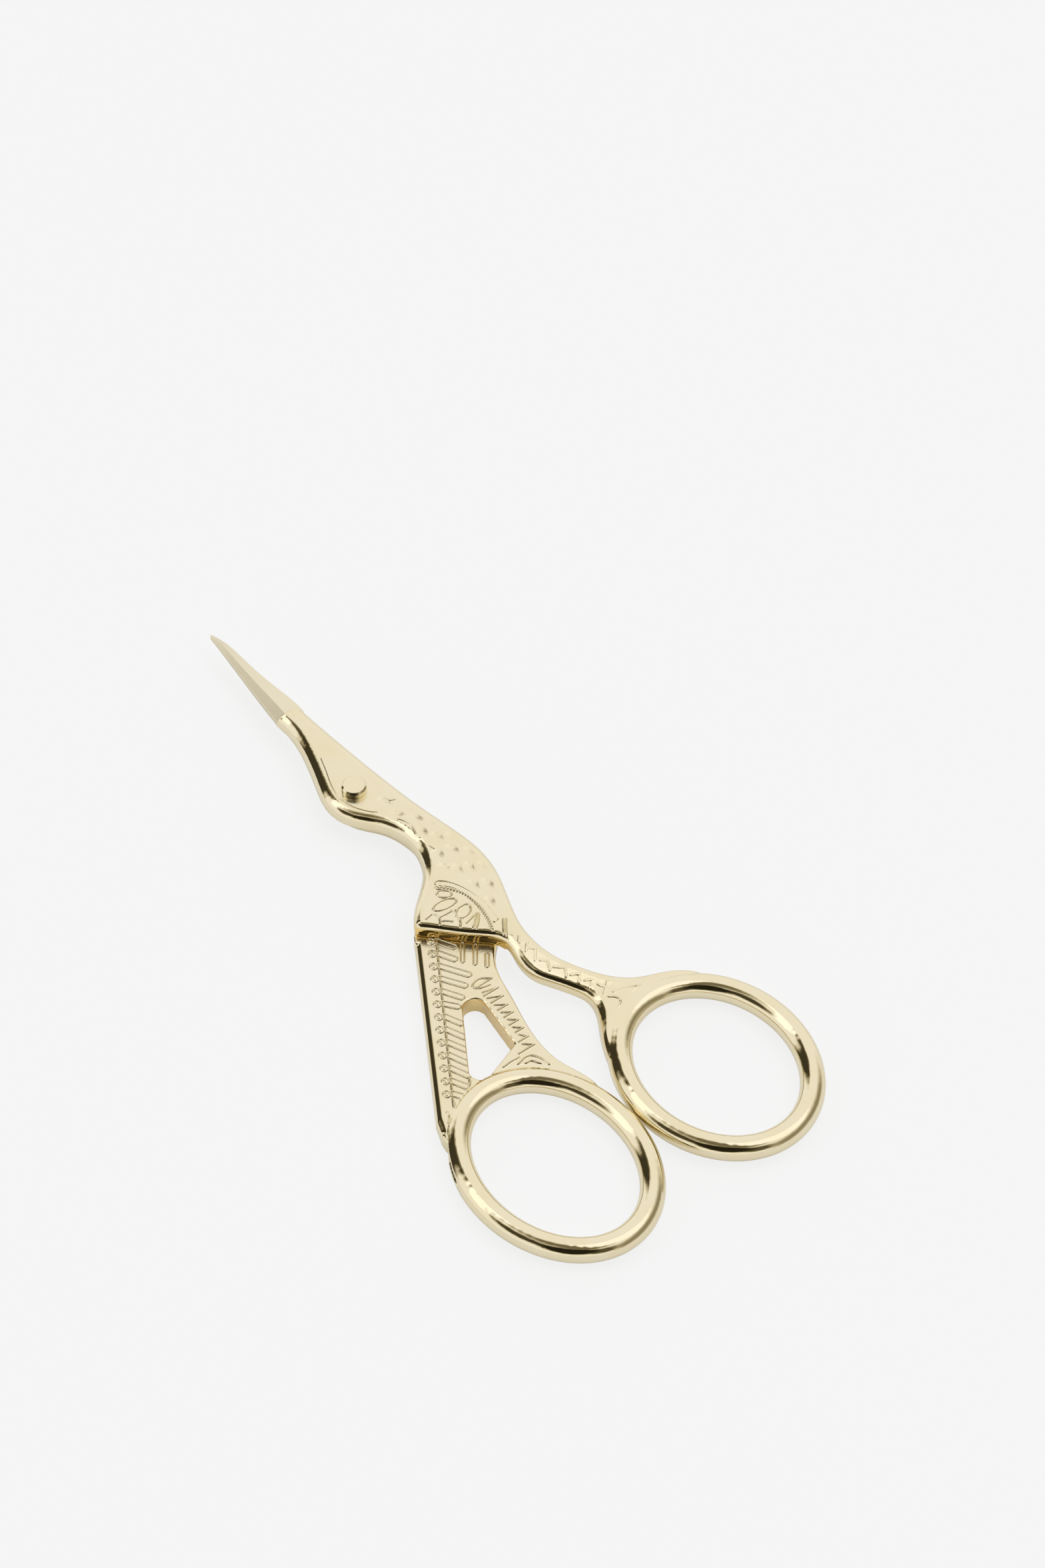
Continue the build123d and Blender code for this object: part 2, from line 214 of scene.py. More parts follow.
WING_LINES = (
    ((-23.6, 0.5), (-22.9, -0.25), (-22.1, -0.9)),
    ((-23.35, 0.75), (-22.7, 0.05), (-21.9, -0.75)),
    ((-22.35, 0.9), (-22.15, 0.2), (-22.0, -0.35)),
    ((-20.25, 0.9), (-20.2, 0.3), (-20.2, -0.35)),
    ((-22.5, 1.85), (-21.8, 1.3), (-20.9, 1.2), (-20.0, 1.2)),
    ((-21.0, 3.5), (-20.5, 3.05), (-20.0, 2.9), (-19.4, 3.0)),
    ((-20.6, 2.85), (-20.9, 2.4), (-21.3, 2.0)),
    ((-20.05, 2.75), (-20.1, 2.1), (-20.1, 1.4)),
    ((-19.35, 4.1), (-19.2, 3.3)),
    ((-26.2, -1.6), (-25.3, -2.2), (-24.4, -2.85)),
    ((-25.9, -1.45), (-25.0, -2.05), (-24.2, -2.6)),
)
LEG_CHEVRONS = (
    ((-27.6, -2.15), (-26.9, -2.75), (-26.5, -2.1)),
    ((-29.0, -2.1), (-28.2, -2.85), (-27.8, -2.2)),
    ((-30.4, -2.3), (-29.3, -3.1), (-28.8, -2.5)),
    ((-32.2, -2.95), (-31.1, -3.4), (-30.7, -2.75)),
    ((-33.7, -4.0), (-32.8, -4.5), (-32.1, -3.5)),
    ((-35.0, -4.75), (-34.2, -5.35), (-33.8, -4.5)),
    ((-36.2, -5.4), (-35.5, -6.1), (-35.1, -5.4)),
    ((-37.5, -6.15), (-37.0, -6.8), (-36.5, -7.4)),
    ((-36.9, -6.75), (-36.5, -6.4), (-36.2, -6.3)),
)
LEG_WEB = (
    ((-41.1, -5.0), (-40.4, -5.6), (-39.8, -6.5), (-39.2, -7.1), (-38.6, -6.9), (-38.1, -6.3)),
    ((-40.0, -6.6), (-39.5, -7.8), (-39.1, -8.9), (-38.85, -9.9)),
    ((-37.9, -7.1), (-38.2, -8.3), (-38.5, -9.2), (-38.85, -9.9)),
)

# Leaf pattern on the panel: fingers on one side of a stem and buds on the other
STEM_TOP = (-21.2, 4.1)
STEM_START = (-22.60, 4.95)
STEM_STEP = (-1.44, 0.86)
STEM_STEPS = 12
FINGER_FEET = (
    (-22.95, 3.05), (-24.3, 3.95), (-26.85, 3.95), (-27.8, 5.1), (-28.85, 6.3), (-29.6, 7.35), (-31.6, 8.35),
    (-33.3, 9.1), (-34.7, 9.95), (-36.2, 10.85), (-37.5, 11.75), (-38.55, 12.7), (-39.4, 13.75),
)
BUD_OFFSET = (0.28, 0.50)
BUD_SIZE = (0.85, 0.65)
STRUT_BARS = (
    # X of each bar and the Y of its ends
    (-38.4, 5.70, 3.75), (-37.15, 4.80, 3.65), (-35.95, 4.35, 3.40), (-34.8, 4.30, 3.20),
    (-33.65, 4.15, 3.05), (-32.5, 4.15, 2.95), (-31.3, 4.15, 2.65), (-30.1, 4.25, 2.45),
)
STRUT_LAST = (-29.2, 4.2, 2.9)  # where the next bar would stand
ZIG_START, ZIG_END = (0.05, 0.05), (-0.45, -0.1)  # from the ends of two bars, between which it slants
PANEL_LOOPS = (
    ((-25.05, 3.40), (-23.1, 2.05)), ((-26.1, 2.50), (-24.1, 1.05)), ((-27.1, 1.65), (-25.9, 0.80)),
)
PANEL_LINES = (
    ((-29.3, 2.9), (-29.05, 3.9), (-28.55, 4.5), (-28.1, 4.2), (-28.05, 3.2), (-28.7, 2.25)),
    ((-28.75, 4.2), (-28.75, 2.4)),
    ((-41.6, 17.0), (-41.0, 16.1), (-40.3, 15.1), (-39.6, 14.0), (-39.0, 13.0), (-38.5, 12.2),
     (-37.8, 11.75)),
    ((-39.15, 12.9), (-39.27, 11.5), (-39.2, 10.0), (-38.95, 8.5), (-38.75, 7.2), (-38.8, 6.0)),
    ((-41.2, 16.9), (-40.7, 16.35), (-40.0, 16.2)),
    ((-40.5, 15.7), (-39.95, 15.1), (-39.5, 14.9)),
    ((-39.5, 6.7), (-39.85, 6.0), (-39.95, 5.2), (-40.9, 4.6)),
    ((-39.5, 6.7), (-39.2, 5.6), (-39.4, 4.75), (-40.4, 4.15), (-41.7, 3.95)),
)

SPLINE_STEPS = 24  # steps that a curve takes between two of its points
STROKE_STEPS = 6  # points of a drawn stroke for each point that its table gives
BAND_STEPS = 40
BAND_REACH = 0.5  # round the box of the band's points
RING_STEPS = 33
BOW_STEPS = 49
TINY = 1e-6  # keeps a division by a length of 0 finite

# Sockets of a Mix node, which share their names
MIX_SHARE = 0
VALUE_A, VALUE_B, VALUE_OUT = 2, 3, 0
COLOUR_A, COLOUR_B, COLOUR_OUT = 6, 7, 2


def direction(azimuth, elevation):
    """Unit vector towards an azimuth and elevation in degrees."""
    a, e = math.radians(azimuth), math.radians(elevation)
    return Vector((math.cos(e) * math.cos(a), math.cos(e) * math.sin(a), math.sin(e)))


def ramp(value, low, high):
    """Share that goes smoothly from 0 at low to 1 at high."""
    share = np.clip((value - low) / (high - low), 0, 1)
    return share * share * (3 - 2 * share)


def along_path(xy, path):
    """Least distance from each point to a path of straight runs."""
    best = np.full(len(xy), np.inf)
    for start, end in zip(path[:-1], path[1:]):
        a = np.array(start, float)
        run = np.array(end, float) - a
        share = np.clip(((xy - a) @ run) / max(run @ run, TINY ** 2), 0, 1)
        gap = xy - a - share[:, None] * run
        best = np.minimum(best, np.hypot(gap[:, 0], gap[:, 1]))
    return best


def bow_path(bow):
    """Centre line of a bow's wire."""
    (x, y), length, width = bow
    turn = math.radians(BOW_TILT)
    steps = np.linspace(0, 2 * math.pi, BOW_STEPS)
    u, v = length / 2 * np.cos(steps), width / 2 * np.sin(steps)
    side = 1 if y > 0 else -1
    return np.column_stack([x + u * math.cos(turn) + side * v * math.sin(turn),
                            y - side * u * math.sin(turn) + v * math.cos(turn)])


# Relief


def bump(distance, half_width):
    """Round ridge: 1 on its line and 0 from its half width on."""
    return np.clip(1 - (distance / half_width) ** 2, 0, 1) ** 2


def plateau(distance, half_width, flank):
    """Flat-topped ridge with sloping flanks."""
    return ramp(half_width - distance, 0, flank)


def spline_points(points, count):
    """Points evenly along a smooth curve through a few."""
    knots = np.array(points, float)
    ends = np.vstack([2 * knots[0] - knots[1], knots, 2 * knots[-1] - knots[-2]])
    dense = []
    for i in range(len(knots) - 1):
        p0, p1, p2, p3 = ends[i:i + 4]
        for t in np.linspace(0, 1, SPLINE_STEPS, endpoint=False):
            dense.append(0.5 * (2 * p1 + (p2 - p0) * t + (2 * p0 - 5 * p1 + 4 * p2 - p3) * t ** 2
                                + (3 * p1 - p0 - 3 * p2 + p3) * t ** 3))
    dense.append(knots[-1])
    dense = np.array(dense)
    steps = np.hypot(*np.diff(dense, axis=0).T)
    travel = np.concatenate([[0], np.cumsum(steps)])
    wanted = np.linspace(0, travel[-1], count)
    return np.column_stack([np.interp(wanted, travel, dense[:, k]) for k in (0, 1)])


def stroke_points(path, smooth=True):
    """Path as it is drawn: through its points in a curve, or straight from one to the next."""
    return spline_points(path, STROKE_STEPS * len(path)) if smooth and len(path) > 2 else path


class Relief:
    """Heights that strokes add to a top, in millimetres."""

    def __init__(self, xy):
        self.xy = xy
        self.height = np.zeros(len(xy))

    def near(self, points, reach):
        """Which points lie within reach of a stroke's box."""
        points = np.array(points, float)
        low, high = points.min(0) - reach, points.max(0) + reach
        return np.where(np.all((self.xy > low) & (self.xy < high), axis=1))[0]

    def raise_to(self, which, height):
        """Takes the higher of the height that is there and a new one."""
        self.height[which] = np.maximum(self.height[which], height)

    def stroke(self, path, half_width=0.13, height=RELIEF_HEIGHT, smooth=True):
        """Raised line."""
        path = stroke_points(path, smooth)
        which = self.near(path, half_width)
        if len(which):
            self.raise_to(which, height * bump(along_path(self.xy[which], path), half_width))

    def groove(self, path, half_width=0.11, depth=0.06):
        """Engraved line."""
        path = stroke_points(path)
        which = self.near(path, half_width)
        if len(which):
            self.height[which] -= depth * bump(along_path(self.xy[which], path), half_width)

    def band(self, path, half_width, flank, height):
        """Flat raised band along a curve. Dents within its reach are filled."""
        which = self.near(path, BAND_REACH)
        distance = along_path(self.xy[which], spline_points(path, BAND_STEPS))
        self.raise_to(which, height * plateau(distance, half_width, flank))

    def loop(self, head, foot, half_width=0.30, line=0.11, height=RELIEF_HEIGHT, fill=0.35):
        """Long raised loop with a lower inside."""
        which = self.near([head, foot], half_width + line)
        if len(which):
            distance = along_path(self.xy[which], [head, foot])
            ring = bump(np.abs(distance - half_width), line)
            inside = fill * plateau(distance, half_width, line)
            self.raise_to(which, height * np.maximum(ring, inside))

    def drop(self, middle, size, angle, height=RELIEF_HEIGHT, lean=0.0, edge=0.9):
        """Raised drop, higher by the share lean at the end to which the angle points.

        An edge above 1 makes its foot softer.
        """
        length, width = size
        which = self.near([middle], length)
        if not len(which):
            return
        gap = self.xy[which] - np.array(middle, float)
        turn = math.radians(angle)
        u = (gap[:, 0] * math.cos(turn) + gap[:, 1] * math.sin(turn)) / (length / 2)
        v = (gap[:, 1] * math.cos(turn) - gap[:, 0] * math.sin(turn)) / (width / 2)
        v = v / np.clip(0.9 + 0.1 * u, 0.3, 1)  # a little narrower at the other end
        body = np.clip(1 - u * u - v * v, 0, 1) ** edge
        slope = 1 - lean + lean * np.clip((u + 1) / 2, 0, 1)
        self.raise_to(which, height * body * slope)

    def dent(self, middle, size, angle, depth, lean, edge=0.9):
        """Drop pressed in."""
        pressed = Relief(self.xy)
        pressed.drop(middle, size, angle, depth, lean, edge)
        self.height -= pressed.height

    def ring(self, middle, size, angle, line=0.11, height=RELIEF_HEIGHT, fill=0.3):
        """Raised oval outline. Its inside is filled up, or pressed in for a fill below 0."""
        turn = math.radians(angle)
        steps = np.linspace(0, 2 * math.pi, RING_STEPS)
        u, v = np.cos(steps) * size[0] / 2, np.sin(steps) * size[1] / 2
        path = np.column_stack([
            middle[0] + u * math.cos(turn) - v * math.sin(turn),
            middle[1] + u * math.sin(turn) + v * math.cos(turn),
        ])
        if fill < 0:
            self.dent(middle, size, angle, -height * fill, lean=0.3)
        else:
            self.drop(middle, size, angle, height * fill)
        self.stroke(path, line, height, smooth=False)


def upper_relief(xy):
    """Feathers, wing and leg marks."""
    relief = Relief(xy)
    relief.dent(EYE, EYE_SIZE, EYE_ANGLE, depth=0.8 * RELIEF_HEIGHT, lean=0.2, edge=1.4)
    relief.stroke(EYE_CORNER, half_width=0.2, height=0.6 * RELIEF_HEIGHT)
    for x, y, angle in FEATHERS:
        relief.dent((x, y), FEATHER_SIZE, angle, depth=0.8 * RELIEF_HEIGHT, lean=0.2, edge=1.5)
    relief.stroke(NECK_LINE, half_width=0.14, height=0.5 * RELIEF_HEIGHT)
    relief.band(WING_BAND, WING_BAND_HALF, WING_BAND_FLANK, height=0.6 * RELIEF_HEIGHT)
    relief.stroke(WING_EDGE, half_width=0.12)
    for bead in spline_points(WING_BEADS, WING_BEAD_COUNT):
        relief.drop(bead, (WING_BEAD_SIZE, WING_BEAD_SIZE), angle=0, height=1.1 * RELIEF_HEIGHT)
    for middle, length, width, angle, fill in WING_RINGS:
        relief.ring(middle, (length, width), angle, fill=fill)
    for line in WING_LINES:
        relief.stroke(line)
    for line in LEG_CHEVRONS:
        relief.stroke(line, half_width=0.22, height=0.32 * RELIEF_HEIGHT, smooth=False)
    for line in LEG_WEB:
        relief.stroke(line, half_width=0.17, height=0.5 * RELIEF_HEIGHT)
    relief.groove(THROAT_LINE)
    return relief.height


def stem_place(k):
    """Place on the stem from which a finger and a bud grow."""
    return STEM_START[0] + k * STEM_STEP[0], STEM_START[1] + k * STEM_STEP[1]


def lower_relief(xy):
    """Leaf pattern of the panel and the zigzag of its strut."""
    relief = Relief(xy)
    for k, foot in enumerate(FINGER_FEET):
        head = stem_place(k - 1)
        relief.loop(head, foot)
        bud = (head[0] + BUD_OFFSET[0], head[1] + BUD_OFFSET[1])
        relief.ring(bud, BUD_SIZE, angle=0, line=0.12, fill=0.9)
    relief.stroke([STEM_TOP, stem_place(STEM_STEPS)], half_width=0.12, height=1.1 * RELIEF_HEIGHT)
    for here, after in zip(STRUT_BARS, STRUT_BARS[1:] + (STRUT_LAST,)):
        x, far, near = here
        relief.stroke([(x, far), (x, near)], half_width=0.15)
        zig = [(x + ZIG_START[0], near + ZIG_START[1]), (after[0] + ZIG_END[0], after[1] + ZIG_END[1])]
        relief.stroke(zig, half_width=0.12)
    for head, foot in PANEL_LOOPS:
        relief.loop(head, foot, half_width=0.16, line=0.10)
    for line in PANEL_LINES:
        relief.stroke(line)
    return relief.height


# Levels and walls of the two halves


def upper_level(x):
    """Level of the upper half's top along the bird and its leg."""
    return np.interp(x, UPPER_TOP_X, UPPER_TOP)


def lower_level(x):
    """Level of the lower half's top."""
    return np.full(len(x), LOWER_TOP)


def on_top(points, level):
    """Which points are high enough to belong to a top."""
    return points[:, 2] > level(points[:, 0]) - TOP_BAND


def upper_painted_bounce(points, normals):
    """Share of the painted bounce tint: the ledge's wall over the panel, where the metal's mirroring of
    itself is painted in.
    """
    along = ramp(points[:, 0], *LEDGE_START) * ramp(points[:, 0], *LEDGE_END)
    return along * ramp(normals[:, 2], *WALL_RISE) * ramp(points[:, 2], *LEDGE_LEVEL)


def lower_painted_bounce(points, normals):
    """Share of the painted bounce tint: the walls of the window, where the metal's mirroring of itself is
    painted in.
    """
    gap = along_path(points[:, :2], WINDOW_OUTLINE)
    return WINDOW_PAINTED_BOUNCE * ramp(gap, *WINDOW_REACH) * ramp(normals[:, 2], *WINDOW_RISE)


# Meshes of the castings


def points_of(mesh):
    """Places of a mesh's points, one row each."""
    flat = np.empty(len(mesh.vertices) * 3, np.float32)
    mesh.vertices.foreach_get("co", flat)
    return flat.reshape(-1, 3).astype(float)


def set_points(mesh, points):
    """Moves a mesh's points to new places."""
    mesh.vertices.foreach_set("co", points.astype(np.float32).ravel())
    mesh.update()


def normals_of(mesh):
    """Normals at a mesh's points, one row each."""
    flat = np.empty(len(mesh.vertices) * 3, np.float32)
    mesh.vertex_normals.foreach_get("vector", flat)
    return flat.reshape(-1, 3).astype(float)


def smooth_points(mesh, points, rounds):
    """Evens a voxel mesh out, and gives back the size that this takes."""
    flat = np.empty(len(mesh.edges) * 2, np.int32)
    mesh.edges.foreach_get("vertices", flat)
    a, b = flat.reshape(-1, 2).T
    ties = np.bincount(a, minlength=len(points)) + np.bincount(b, minlength=len(points))
    for pull in SMOOTHING_PULLS * rounds:
        for axis in range(3):
            column = points[:, axis]
            total = (np.bincount(a, weights=column[b], minlength=len(points))
                     + np.bincount(b, weights=column[a], minlength=len(points)))
            points[:, axis] = column + pull * (total / ties - column)
    return points


def place_tree(places):
    """Tree that finds the nearest of a few places."""
    tree = KDTree(len(places))
    for k, place in enumerate(places):
        tree.insert(place, k)
    tree.balance()
    return tree


def follow_section(points, shift):
    """Moves the collar's end as the section just short of it moves."""
    section = np.where(np.abs(points[:, 0] - COLLAR_SECTION) < SECTION_HALF)[0]
    tree = place_tree([(0, y, z) for y, z in points[section, 1:]])
    for i in np.where(points[:, 0] > COLLAR_SECTION + SECTION_HALF)[0]:
        _, nearest, gap = tree.find((0, points[i, 1], points[i, 2]))
        shift[i] = shift[section[nearest]] * np.clip(1 - gap / COLLAR_DEPTH, 0, 1)


def widen_rims(points, normals):
    """Makes the rounding of the upper half's rims wider."""
    top = upper_level(points[:, 0])
    rise = normals[:, 2]
    rim = (points[:, 2] > top - RIM_DEPTH[0]) & (points[:, 2] < top - RIM_DEPTH[1])
    rim &= (rise > 0) & (rise < RIM_RISE) & (points[:, 0] < COLLAR_RIM)
    rim &= np.hypot(points[:, 0], points[:, 1]) > PIVOT_CLEARANCE
    tree = place_tree([(x, y, 0) for x, y in points[rim, :2]])

    moved = np.where((rise > UNDERSIDE_RISE) & (points[:, 2] > top - RIM_THICKNESS))[0]
    more = np.interp(points[moved, 0], EXTRA_X, EXTRA)
    more *= ramp(along_path(points[moved, :2], bow_path(UPPER_BOW)), *RIM_WIRE_CLEARANCE)
    moved, more = moved[more > LEAST_EXTRA], more[more > LEAST_EXTRA]
    inward, distance = np.zeros((len(moved), 2)), np.zeros(len(moved))
    for k, (x, y) in enumerate(points[moved, :2]):
        nearest, _, distance[k] = tree.find((x, y, 0))
        inward[k] = x - nearest.x, y - nearest.y
    inward /= np.maximum(distance, TINY)[:, None]
    lean = np.hypot(normals[moved, 0], normals[moved, 1])
    steep = ramp(lean, *RIM_LEAN)[:, None]
    inward = inward * (1 - steep) - normals[moved, :2] / np.maximum(lean, TINY)[:, None] * steep

    fade = np.clip(1 - (distance - RIM_ROUND) / RIM_FADE, 0, 1)
    share = (points[moved, 2] - top[moved] + RIM_THICKNESS) / (RIM_THICKNESS - RIM_ROUND)
    fall = 1 - np.clip(rise[moved], 0, 1)
    shift = np.column_stack([inward * (more * (1 - lean) * fade)[:, None],
                             -more * fall * np.clip(share, 0, 1)])
    follow_section(points[moved], shift)
    points[moved] += shift


def bend_edge(points):
    """Leads the end of the panel's outer edge in to the bow."""
    (start_x, start_y), (end_x, end_y) = PANEL_EDGE
    rise = (end_y - start_y) / (end_x - start_x)
    line = start_y + rise * (points[:, 0] - start_x)
    shift = (rise - BENT_RISE) * np.clip(points[:, 0] - BEND_START, None, 0)
    shift *= ramp(points[:, 1] - line, *BEND_BAND)
    shift *= ramp(along_path(points[:, :2], bow_path(LOWER_BOW)), *BEND_WIRE_CLEARANCE)
    points[:, 1] -= shift


def shape_upper(mesh, points):
    """Points of the upper casting with its wider rims."""
    set_points(mesh, points)
    points = points_of(mesh)
    widen_rims(points, normals_of(mesh))
    return smooth_points(mesh, points, WIDENED_SMOOTHING)


def shape_lower(mesh, points):
    """Points of the lower casting with the panel's edge led in."""
    bend_edge(points)
    return smooth_points(mesh, points, BENT_SMOOTHING)


def add_prism(bm, outline, low, high):
    """Adds an upright prism over an outline that runs round anticlockwise."""
    below = [bm.verts.new((x, y, low)) for x, y in outline]
    above = [bm.verts.new((x, y, high)) for x, y in outline]
    bm.faces.new(below[::-1])
    bm.faces.new(above)
    for k in range(len(outline)):
        after = (k + 1) % len(outline)
        bm.faces.new((below[k], below[after], above[after], above[k]))


def millimetre_mesh(node, web=None):
    """Copy of a frame node's mesh, in millimetres from the pivot."""
    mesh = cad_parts[node].data.copy()
    mesh.materials.clear()
    bm = bmesh.new()
    bm.from_mesh(mesh)
    for vertex in bm.verts:
        vertex.co = (vertex.co - PIVOT) / MM
    bmesh.ops.remove_doubles(bm, verts=bm.verts, dist=CAST_WELD)
    if web:
        add_prism(bm, web, *PANEL_WEB_LEVELS)
    bm.to_mesh(mesh)
    bm.free()
    return mesh


def even_piece(name, mesh):
    """New object with a mesh's form in small even faces."""
    piece = bpy.data.objects.new(name, mesh)
    bpy.context.scene.collection.objects.link(piece)
    remesh = piece.modifiers.new("even", "REMESH")
    remesh.mode = "VOXEL"
    remesh.voxel_size = CAST_VOXEL
    remesh.use_smooth_shade = True
    even = bpy.data.meshes.new_from_object(piece.evaluated_get(bpy.context.evaluated_depsgraph_get()))
    piece.modifiers.clear()
    piece.data = even
    return piece


def refine(mesh, chosen):
    """Splits the faces whose points are all chosen."""
    bm = bmesh.new()
    bm.from_mesh(mesh)
    bm.verts.ensure_lookup_table()
    faces = [face for face in bm.faces if all(chosen[vertex.index] for vertex in face.verts)]
    edges = list({edge for face in faces for edge in face.edges})
    bmesh.ops.subdivide_edges(bm, edges=edges, cuts=1, use_grid_fill=True)
    bm.to_mesh(mesh)
    bm.free()


def refine_top(mesh, level, relief):
    """Splits the top's faces once, and once more where there is relief."""
    for only_relief in (False, True):
        points = points_of(mesh)
        top = (normals_of(mesh)[:, 2] > REFINED_RISE) & on_top(points, level)
        chosen = top.copy()
        if only_relief:
            chosen[top] = relief(points[top, :2]) != 0
        refine(mesh, chosen)


def casting(name, node, level, relief, bow, shape, painted_bounce, web=None):
    """Visible copy of a casting: shaped, refined, with its relief, the share of its satin finish and the
    share of its painted bounce tint.
    """
    piece = even_piece(name, millimetre_mesh(node, web))
    mesh = piece.data
    set_points(mesh, shape(mesh, smooth_points(mesh, points_of(mesh), CAST_SMOOTHING)))
    refine_top(mesh, level, relief)

    points, normals = points_of(mesh), normals_of(mesh)
    high = on_top(points, level)
    clear = ramp(along_path(points[:, :2], bow_path(bow)), *WIRE_CLEARANCE)
    satin = ramp(normals[:, 2], *SATIN_RISE) * ramp(np.abs(normals[:, 1]), *SATIN_LEAN) * high * clear
    raised = ramp(normals[:, 2], *RELIEF_RISE) * high * clear
    top = raised > 0
    points[top, 2] += relief(points[top, :2]) * raised[top]
    points[:, 2] = np.maximum(points[:, 2], 0)
    # the first share sets where a top is satin; the second paints a deeper, warmer tint where the metal
    # would mirror itself
    for layer_name, values in (("satin", satin), ("painted_bounce", painted_bounce(points, normals))):
        layer = mesh.attributes.new(layer_name, "FLOAT", "POINT")
        layer.data.foreach_set("value", values.astype(np.float32))
    set_points(mesh, points * MM + np.array(PIVOT))
    mesh.shade_smooth()
    return piece


# Nodes


def add(tree, kind, **values):
    """Node of a kind with properties set."""
    node = tree.nodes.new(kind)
    for key, value in values.items():
        setattr(node, key, value)
    return node


def feed(tree, socket, value):
    """Links a socket to another node's output, or sets it to a value."""
    if isinstance(value, bpy.types.NodeSocket):
        tree.links.new(value, socket)
    else:
        socket.default_value = value


def noise(tree, vector, scale, detail=3.0, roughness=0.55):
    """Noise from 0 to 1."""
    node = add(tree, "ShaderNodeTexNoise")
    feed(tree, node.inputs["Vector"], vector)
    feed(tree, node.inputs["Scale"], scale)
    feed(tree, node.inputs["Detail"], detail)
    feed(tree, node.inputs["Roughness"], roughness)
    return node.outputs["Fac"]


def remap(tree, value, spread, span=(0.0, 1.0), smooth=False):
    """Value that goes over a span while another one goes over its spread."""
    node = add(tree, "ShaderNodeMapRange", interpolation_type="SMOOTHSTEP" if smooth else "LINEAR")
    feed(tree, node.inputs["Value"], value)
    feed(tree, node.inputs["From Min"], spread[0])
    feed(tree, node.inputs["From Max"], spread[1])
    feed(tree, node.inputs["To Min"], span[0])
    feed(tree, node.inputs["To Max"], span[1])
    return node.outputs["Result"]


def math_node(tree, operation, *values):
    """Result of a sum, product or other operation."""
    node = add(tree, "ShaderNodeMath", operation=operation)
    for socket, value in zip(node.inputs, values):
        feed(tree, socket, value)
    return node.outputs["Value"]


def mix_value(tree, share, first, second):
    """Value between two."""
    node = add(tree, "ShaderNodeMix", data_type="FLOAT")
    feed(tree, node.inputs[MIX_SHARE], share)
    feed(tree, node.inputs[VALUE_A], first)
    feed(tree, node.inputs[VALUE_B], second)
    return node.outputs[VALUE_OUT]


def mix_colour(tree, share, first, second):
    """Colour between two."""
    node = add(tree, "ShaderNodeMix", data_type="RGBA")
    feed(tree, node.inputs[MIX_SHARE], share)
    feed(tree, node.inputs[COLOUR_A], first)
    feed(tree, node.inputs[COLOUR_B], second)
    return node.outputs[COLOUR_OUT]


def mix_shader(tree, share, first, second):
    """Shader between two."""
    node = add(tree, "ShaderNodeMixShader")
    for socket, value in zip(node.inputs, (share, first.outputs[0], second.outputs[0])):
        feed(tree, socket, value)
    return node.outputs[0]


# Finishes


def new_material(name, metallic=1.0):
    """New material with its node tree, Principled shader and the object's own coordinates."""
    material = bpy.data.materials.new(name)
    material.use_nodes = True
    tree = material.node_tree
    shader = tree.nodes["Principled BSDF"]
    shader.inputs["Metallic"].default_value = metallic
    return material, tree, shader, add(tree, "ShaderNodeTexCoord").outputs["Object"]


def share_of(tree, name):
    """Share that a casting's points carry for a finish."""
    return add(tree, "ShaderNodeAttribute", attribute_name=name).outputs["Fac"]


def roughen(tree, shader, height, millimetres, strength):
    """Fine unevenness of a surface."""
    bumps = add(tree, "ShaderNodeBump")
    feed(tree, bumps.inputs["Height"], height)
    feed(tree, bumps.inputs["Distance"], millimetres * MM)
    feed(tree, bumps.inputs["Strength"], strength)
    feed(tree, shader.inputs["Normal"], bumps.outputs["Normal"])


def cast_gold():
    """Gold on a casting: polished on rims and bows, satin with a fine grain on tops, and a painted deeper
    tint on walls where the metal would mirror itself.
    """
    material, tree, shader, place = new_material("cast_gold")
    satin = share_of(tree, "satin")
    clouds = noise(tree, place, CAST_CLOUDS)
    grain = noise(tree, place, CAST_GRAIN, detail=2.0)
    tint = mix_colour(tree, remap(tree, clouds, TINT_SPREAD), GOLD, GOLD_WARM)
    # painted reflection: a deeper, warmer gold where the metal would mirror itself again and again
    feed(tree, shader.inputs["Base Color"], mix_colour(tree, share_of(tree, "painted_bounce"), tint, GOLD_PAINTED_BOUNCE))
    polished = remap(tree, clouds, NOISE_SPREAD, POLISHED_ROUGHNESS)
    soft = remap(tree, grain, NOISE_SPREAD, SATIN_ROUGHNESS)
    feed(tree, shader.inputs["Roughness"], mix_value(tree, satin, polished, soft))
    roughen(tree, shader, grain, GRAIN_HEIGHT, math_node(tree, "MULTIPLY", satin, GRAIN_STRENGTH))
    return material


def blade_steel():
    """Gold-washed steel with fine lines ground along the blade."""
    material, tree, shader, place = new_material("blade_steel")
    stretch = add(tree, "ShaderNodeMapping")
    feed(tree, stretch.inputs["Vector"], place)
    feed(tree, stretch.inputs["Scale"], BLADE_STRETCH)
    lines = noise(tree, stretch.outputs["Vector"], BLADE_LINES, detail=4.0)
    clouds = noise(tree, place, BLADE_CLOUDS)
    feed(tree, shader.inputs["Base Color"], mix_colour(tree, clouds, STEEL_GOLD, GOLD))
    feed(tree, shader.inputs["Roughness"], remap(tree, lines, NOISE_SPREAD, BLADE_ROUGHNESS))
    roughen(tree, shader, lines, LINE_HEIGHT, LINE_STRENGTH)
    return material


def rivet_gold():
    """Polished gold with faint wear."""
    material, tree, shader, place = new_material("rivet_gold")
    clouds = noise(tree, place, RIVET_CLOUDS)
    feed(tree, shader.inputs["Base Color"], mix_colour(tree, clouds, GOLD, GOLD_WARM))
    feed(tree, shader.inputs["Roughness"], remap(tree, clouds, NOISE_SPREAD, RIVET_ROUGHNESS))
    return material


